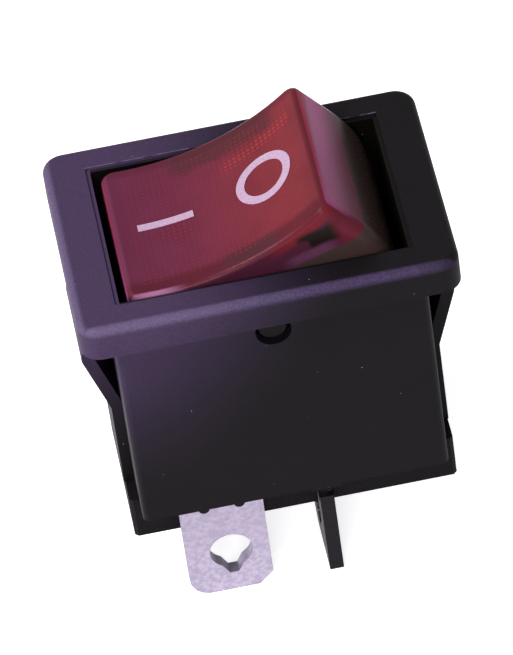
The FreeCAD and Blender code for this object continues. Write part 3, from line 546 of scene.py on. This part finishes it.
glass, tree, shader = new_finish("lamp_glass", 0.06)
shader.inputs["Transmission Weight"].default_value = 0.9
shader.inputs["IOR"].default_value = 1.5
place = object_millimetres(tree)
smoke = add_ramp(tree, add_noise(tree, place, 0.6, 2.0), 0.45, 0.75)
join(tree, mix_colours(tree, smoke, GLASS_TINT, GLASS_SMOKE), shader.inputs["Base Color"])
dress("neon_glass", glass)

lead = bare_metal("lead_wire", 0.35, (LEAD_DULL, LEAD_BRIGHT), (2.0, 8.0), (0.1, 0.005))
for name in ("lamp_lead_front", "lamp_lead_rear", "resistor_lead"):
    dress(name, lead)


# The resistor lies across the rocker beyond the lamp, in series with it. It is a ceramic rod under
# beige lacquer with four painted rings, which give its value and tolerance.
LACQUER_PALE = (0.62, 0.47, 0.30)
LACQUER_DEEP = (0.50, 0.36, 0.22)
RINGS = (
    (-1.05, (0.18, 0.07, 0.03)),
    (-0.45, (0.02, 0.02, 0.02)),
    (0.15, (0.75, 0.48, 0.03)),
    (1.00, (0.55, 0.40, 0.12)),
)
RING_HALF = 0.14

lacquer, tree, shader = new_finish("resistor_lacquer", 0.3)
place = object_millimetres(tree)
skin = place_group(tree, moulded_grain, place, Grains=5.0, Clouds=0.8)
x, y, z = split_axes(tree, place)
colour = mix_colours(tree, skin["Cloud"], LACQUER_DEEP, LACQUER_PALE)
for middle, paint in RINGS:
    across_ring = add_math(tree, "ABSOLUTE", add_math(tree, "SUBTRACT", y, middle))
    colour = mix_colours(tree, add_ramp(tree, across_ring, RING_HALF + 0.03, RING_HALF), colour, paint)
join(tree, colour, shader.inputs["Base Color"])
add_bump(tree, shader, skin["Grain"], 0.1, 0.01)
dress("resistor_body", lacquer)


# The rocker is one moulding of translucent red polycarbonate, hollow below, and turns on two pins
# in the housing's long walls. Under its top a fine square grid spreads the lamp's light, inside a
# plain border, and darker patches of painted shade stand where the barrels and walls behind show
# through.
THROW = 38.0
PIVOT_Z = -1.3
TILT = math.radians(THROW / 2)
RIDGE_X = 5.98
VALLEY_TOP = 4.27
TOP_SAG = 1.285
TOP_RADIUS = (RIDGE_X**2 + TOP_SAG**2) / (2 * TOP_SAG)
END_SLOPE = (0.9417, 0.3364)
END_REACH = 7.5
KNEE_Z = 2.6
GRID_PITCH = 0.30
GRID_LINE = (0.12 * GRID_PITCH, 0.34 * GRID_PITCH)
WANDER = 0.9


def slanted(tree, first, share, second, other_share, start):
    """A slanting distance: shares of two coordinates added to a start."""
    return add_math(tree, "MULTIPLY_ADD", second, other_share, scaled(tree, first, share, start))


red, tree, shader = new_finish("rocker_red", 0.24, specular=0.025)
shader.inputs["Transmission Weight"].default_value = 0.08
shader.inputs["IOR"].default_value = 1.5
place = object_millimetres(tree, TILT, PIVOT_Z)
x, y, z = split_axes(tree, place)
skin = place_group(tree, moulded_grain, place, Grains=12.0, Clouds=0.32)
across, along = add_math(tree, "ABSOLUTE", y), add_math(tree, "ABSOLUTE", x)
dip = scaled(tree, add_math(tree, "MULTIPLY", x, x), 0.5 / TOP_RADIUS, VALLEY_TOP)
depth = add_math(tree, "SUBTRACT", dip, z)
wander = scaled(tree, add_noise(tree, place, 0.9, 3.0), WANDER, -WANDER / 2)
x_wander, y_wander = add_math(tree, "ADD", x, wander), add_math(tree, "ADD", y, wander)

# The near and far sides: plum, with a bright red band below the top, painted shade where the dark
# hollow behind it shows through, a painted pink reflection of the bezel's edge at the foot, and a
# red corner.
SIDE_PLUM = (0.066, 0.014, 0.030)
SIDE_PLUM_DEEP = (0.0561, 0.0119, 0.0255)
SIDE_RED = (0.145, 0.013, 0.022)
SIDE_SHADE = (0.010, 0.006, 0.005)
SIDE_REFLECTION_PINK = (0.100, 0.032, 0.070)
BAND_DEPTH = (0.0, 0.75)
BAND_X = (1.2, 3.2)
HOLLOW_X = (3.7, 5.9)
HOLLOW_Z = (3.05, 4.3)
FOOT_X = (2.5, 5.2)
FOOT_Z = (2.4, 3.15)
CORNER_X = (5.3, 6.0)

colour = mix_colours(tree, skin["Cloud"], SIDE_PLUM, SIDE_PLUM_DEEP)
band = product(tree, add_window(tree, depth, *BAND_DEPTH, soft=0.2), add_ramp(tree, x, *BAND_X))
colour = mix_colours(tree, band, colour, SIDE_RED)
# Painted shade where the dark hollow behind the side shows through.
hollow = product(
    tree,
    add_window(tree, add_math(tree, "MULTIPLY_ADD", wander, 0.6, z), *HOLLOW_Z, soft=0.2),
    add_window(tree, add_math(tree, "MULTIPLY_ADD", wander, 2.2, x), *HOLLOW_X, soft=0.3),
)
colour = mix_colours(tree, hollow, colour, SIDE_SHADE)
# A painted pink reflection of the bezel's edge near the foot of the side.
foot = product(tree, add_window(tree, z, *FOOT_Z, soft=0.2), add_window(tree, x, *FOOT_X, soft=0.6))
colour = mix_colours(tree, foot, colour, SIDE_REFLECTION_PINK)
colour = mix_colours(tree, scaled(tree, add_ramp(tree, x, *CORNER_X), 0.6), colour, SIDE_RED)

# The top: plum at the pressed end and red at the raised one, with painted shade as a darker border
# over the walls and as brown patches at its far and near sides, and a painted glow in patches of
# the grid's cells.
TOP_PLUM = (0.125, 0.021, 0.053)
TOP_RED = (0.190, 0.026, 0.034)
TOP_CLOUD_AND_BORDER_SHADE = (0.080, 0.010, 0.018)
TOP_BROWN_SHADE = (0.066, 0.020, 0.026)
CELL_ORANGE_AND_GLOW = (0.50, 0.045, 0.028)
REDDER_X = (-5.0, 4.5)
BORDER_NEAR_Y = (-3.9, -4.5)
BORDER_FAR_Y = (4.3, 4.9)
BORDER_RIGHT_X = (5.5, 5.8)
FAR_SHADE_X = (-2.4, 4.0)
FAR_SHADE_Y = (3.5, 5.0)
NEAR_SHADE_X = (-0.6, 2.6)
NEAR_SHADE_Y = (-5.1, -4.1)
GLOW_X = (0.6, 5.3)
GLOW_Y = 2.45
GLOW_SLANT = 0.16
GLOW_HALF = 0.35
GRID_END_X = (RIDGE_X - 0.7, RIDGE_X - 0.95)
GRID_END_Y = (4.55, 4.35)
TOP_DEPTH = (0.28, 0.12)

face = mix_colours(tree, add_ramp(tree, x_wander, *REDDER_X), TOP_PLUM, TOP_RED)
face = mix_colours(tree, scaled(tree, skin["Cloud"], 0.35), face, TOP_CLOUD_AND_BORDER_SHADE)
# Painted shade: a darker border over the walls; the same colour also clouds the top at random.
near_and_right = (add_ramp(tree, y, *BORDER_NEAR_Y), add_ramp(tree, x, *BORDER_RIGHT_X))
border = add_math(tree, "MAXIMUM", *near_and_right)
border = add_math(tree, "MAXIMUM", border, scaled(tree, add_ramp(tree, y, *BORDER_FAR_Y), 0.6))
face = mix_colours(tree, scaled(tree, border, 0.75), face, TOP_CLOUD_AND_BORDER_SHADE)
# Brown patches of painted shade at the far and near sides of the top.
far_shade_patch = product(
    tree,
    add_window(tree, y_wander, *FAR_SHADE_Y, soft=0.3),
    add_window(tree, x, *FAR_SHADE_X, soft=0.6),
)
near_shade_patch = product(
    tree,
    add_window(tree, y, *NEAR_SHADE_Y, soft=0.2),
    add_window(tree, x, *NEAR_SHADE_X, soft=0.6),
)
shade_patches = scaled(tree, add_math(tree, "MAXIMUM", far_shade_patch, near_shade_patch), 0.75)
face = mix_colours(tree, shade_patches, face, TOP_BROWN_SHADE)

lines = []
for axis in (x, y):
    wave = add_math(tree, "PINGPONG", axis, GRID_PITCH / 2)
    lines.append(add_ramp(tree, wave, *GRID_LINE))
# A painted glow: the grid's cells turn orange along a streak and faintly in cloudy patches; elsewhere the
# grid shows only slightly.
streak = add_math(tree, "ADD", slanted(tree, x, -GLOW_SLANT, y, 1.0, -GLOW_Y), wander)
glow = product(
    tree,
    add_window(tree, streak, -GLOW_HALF, GLOW_HALF, soft=0.3),
    add_window(tree, x, *GLOW_X, soft=0.4),
)
faint = scaled(tree, add_ramp(tree, skin["Cloud"], 0.55, 0.95), 0.18)
cell = product(
    tree,
    *lines,
    add_ramp(tree, along, *GRID_END_X),
    add_ramp(tree, across, *GRID_END_Y),
    scaled(tree, add_math(tree, "MAXIMUM", glow, faint), 0.50, 0.06),
)
face = mix_colours(tree, cell, face, CELL_ORANGE_AND_GLOW)
colour = mix_colours(tree, add_ramp(tree, depth, *TOP_DEPTH), colour, face)

# The two end faces: red under the ridge, a painted pink reflection of the room's light, and painted
# shade in wine below it and towards the near side.
END_RED = (0.33, 0.030, 0.065)
END_REFLECTION_PINK = (0.50, 0.11, 0.29)
END_SHADE_WINE = (0.11, 0.006, 0.030)
END_SKIN = (-0.10, -0.04)
LIGHT_LEAN = 0.055
REFLECTION_Z = (5.35, 4.95)
END_SHADE_Z = (4.75, 2.75)
END_SHADE_Y = (4.5, -4.0)

beyond = slanted(tree, along, END_SLOPE[0], z, END_SLOPE[1], -END_REACH)
# A painted pink reflection high on the end faces, and painted shade in wine lower down and towards the
# near side.
lean = slanted(tree, z, 1.0, y, LIGHT_LEAN, 0.0)
end_colour = mix_colours(tree, add_ramp(tree, lean, *REFLECTION_Z), END_RED, END_REFLECTION_PINK)
end_colour = mix_colours(tree, add_ramp(tree, lean, *END_SHADE_Z), end_colour, END_SHADE_WINE)
end_colour = mix_colours(tree, scaled(tree, add_ramp(tree, y, *END_SHADE_Y), 0.42), end_colour, END_SHADE_WINE)
colour = mix_colours(tree, add_ramp(tree, beyond, *END_SKIN), colour, end_colour)

# Below the knee the skirt is painted brown as the shade of the well. A painted pink highlight lies
# on the near edge at the pressed end, and painted shade darkens the pins' ends.
SKIRT_SHADE_BROWN = (0.048, 0.030, 0.026)
EDGE_HIGHLIGHT_PINK = (0.40, 0.17, 0.31)
PIN_END_SHADE = (0.0045, 0.0032, 0.0025)
SKIRT_Z = (KNEE_Z + 0.05, KNEE_Z - 0.2)
SHINE_DEPTH = (0.45, 0.3)
NEAR_SHINE_X = (-5.6, -3.6)
NEAR_SHINE_Y = (-4.98, -5.1)
LEFT_SHINE_X = (-5.6, -5.8)
PIN_END_Y = (5.33, 5.37)

# Painted shade: the skirt below the knee is brown.
colour = mix_colours(tree, add_ramp(tree, z, *SKIRT_Z), colour, SKIRT_SHADE_BROWN)
# A painted highlight on the near top edge at the pressed end, and faintly along the left end's top edge.
top_edge = add_ramp(tree, depth, *SHINE_DEPTH)
near_edge = (add_ramp(tree, y, *NEAR_SHINE_Y), add_window(tree, x, *NEAR_SHINE_X, soft=0.9))
near_shine = product(tree, *near_edge, top_edge)
left_shine = scaled(tree, product(tree, add_ramp(tree, x, *LEFT_SHINE_X), top_edge), 0.08)
edge_shine = scaled(tree, add_math(tree, "MAXIMUM", near_shine, left_shine), 0.75)
colour = mix_colours(tree, edge_shine, colour, EDGE_HIGHLIGHT_PINK)
# Painted shade on the pins' ends in their recesses.
colour = mix_colours(tree, add_ramp(tree, across, *PIN_END_Y), colour, PIN_END_SHADE)
join(tree, colour, shader.inputs["Base Color"])
join(tree, scaled(tree, skin["Grain"], 0.08, 0.2), shader.inputs["Roughness"])
add_bump(tree, shader, skin["Grain"], 0.12, 0.01)
dress("rocker", red)


# The marks are printed on the rocker's hollow top in white ink: a bar at the end that closes
# the contacts, and a ring at the end that opens them.
INK_THICKNESS = 0.03
INK_LIFT = 0.02
INK_WHITE = (0.50, 0.36, 0.48)
INK_WORN = (0.40, 0.27, 0.38)
RING_MIDDLE = (2.78, 0.05)
RING_OUTER = (1.78, 1.70)
RING_STROKE = 0.52
RING_STEPS = 96
BAR_ENDS = (-4.68, -1.60)
BAR_MIDDLE_Y = 0.10
BAR_HALF = 0.25
BAR_STEPS = 24


def on_rocker(x, y, lift):
    """Points of the rocker's upright frame on its top, turned to the pressed place and in metres.

    The top is part of a cylinder about Y: its height is the radius less the root of the squared
    radius less x squared, above the lowest line. The turn about Y is half the throw.
    """
    z = VALLEY_TOP + TOP_RADIUS - np.sqrt(TOP_RADIUS**2 - x**2) + lift
    turned_x = x * math.cos(TILT) - z * math.sin(TILT)
    turned_z = x * math.sin(TILT) + z * math.cos(TILT) + PIVOT_Z
    return np.stack([turned_x, y, turned_z], axis=-1) * MM


def closed_band(inner_points, outer_points, name):
    """A thin printed band between two loops, as a grid of four corners a step that closes on itself."""
    loops = np.stack([inner_points[0], outer_points[0], outer_points[1], inner_points[1]], axis=1)
    steps, corners = loops.shape[:2]
    step, corner = np.meshgrid(np.arange(steps), np.arange(corners), indexing="ij")
    after, beside = (step + 1) % steps, (corner + 1) % corners
    here, there = step * corners, after * corners
    faces = np.stack([here + corner, here + beside, there + beside, there + corner], axis=-1)
    mesh = bpy.data.meshes.new(name)
    mesh.from_pydata(loops.reshape(-1, 3).tolist(), [], faces.reshape(-1, 4).tolist())
    return mesh


ring_angle = np.linspace(0, 2 * math.pi, RING_STEPS, endpoint=False)


def ring_loop(half_x, half_y, lift):
    """An oval about the ring's middle: half lengths times the cosine and the sine of the angle."""
    x = RING_MIDDLE[0] + half_x * np.cos(ring_angle)
    y = RING_MIDDLE[1] + half_y * np.sin(ring_angle)
    return on_rocker(x, y, lift)


low, high = INK_LIFT, INK_LIFT + INK_THICKNESS
inner_half = (RING_OUTER[0] - RING_STROKE, RING_OUTER[1] - RING_STROKE)
ring_mesh = closed_band(
    (ring_loop(*inner_half, low), ring_loop(*inner_half, high)),
    (ring_loop(*RING_OUTER, low), ring_loop(*RING_OUTER, high)),
    "open_mark",
)
open_mark = bpy.data.objects.new("open_mark", ring_mesh)


def bar_grid(lift):
    """A strip of the top between the bar's two ends, as rows along it and its two sides across."""
    along, side = np.meshgrid(np.linspace(*BAR_ENDS, BAR_STEPS), (-BAR_HALF, BAR_HALF), indexing="ij")
    return on_rocker(along, BAR_MIDDLE_Y + side, lift)


bar_low, bar_high = bar_grid(low), bar_grid(high)
loops = np.stack([bar_low[:, 0], bar_low[:, 1], bar_high[:, 1], bar_high[:, 0]], axis=1)
rows = loops.shape[0]
row, corner = np.meshgrid(np.arange(rows - 1), np.arange(4), indexing="ij")
beside = (corner + 1) % 4
here, there = row * 4, (row + 1) * 4
walls = np.stack([here + corner, there + corner, there + beside, here + beside], axis=-1)
last = (rows - 1) * 4
ends = [[0, 1, 2, 3], [last + 3, last + 2, last + 1, last]]
bar_mesh = bpy.data.meshes.new("closed_mark")
bar_mesh.from_pydata(loops.reshape(-1, 3).tolist(), [], walls.reshape(-1, 4).tolist() + ends)
closed_mark = bpy.data.objects.new("closed_mark", bar_mesh)

ink, tree, shader = new_finish("white_ink", 0.45, specular=0.3)
place = object_millimetres(tree)
skin = place_group(tree, moulded_grain, place, Grains=10.0, Clouds=1.2)
join(tree, mix_colours(tree, skin["Grain"], INK_WORN, INK_WHITE), shader.inputs["Base Color"])
add_bump(tree, shader, skin["Grain"], 0.1, 0.01)
for mark in (open_mark, closed_mark):
    mark.data.materials.append(ink)
    bpy.context.scene.collection.objects.link(mark)
    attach(mark, "rocker")
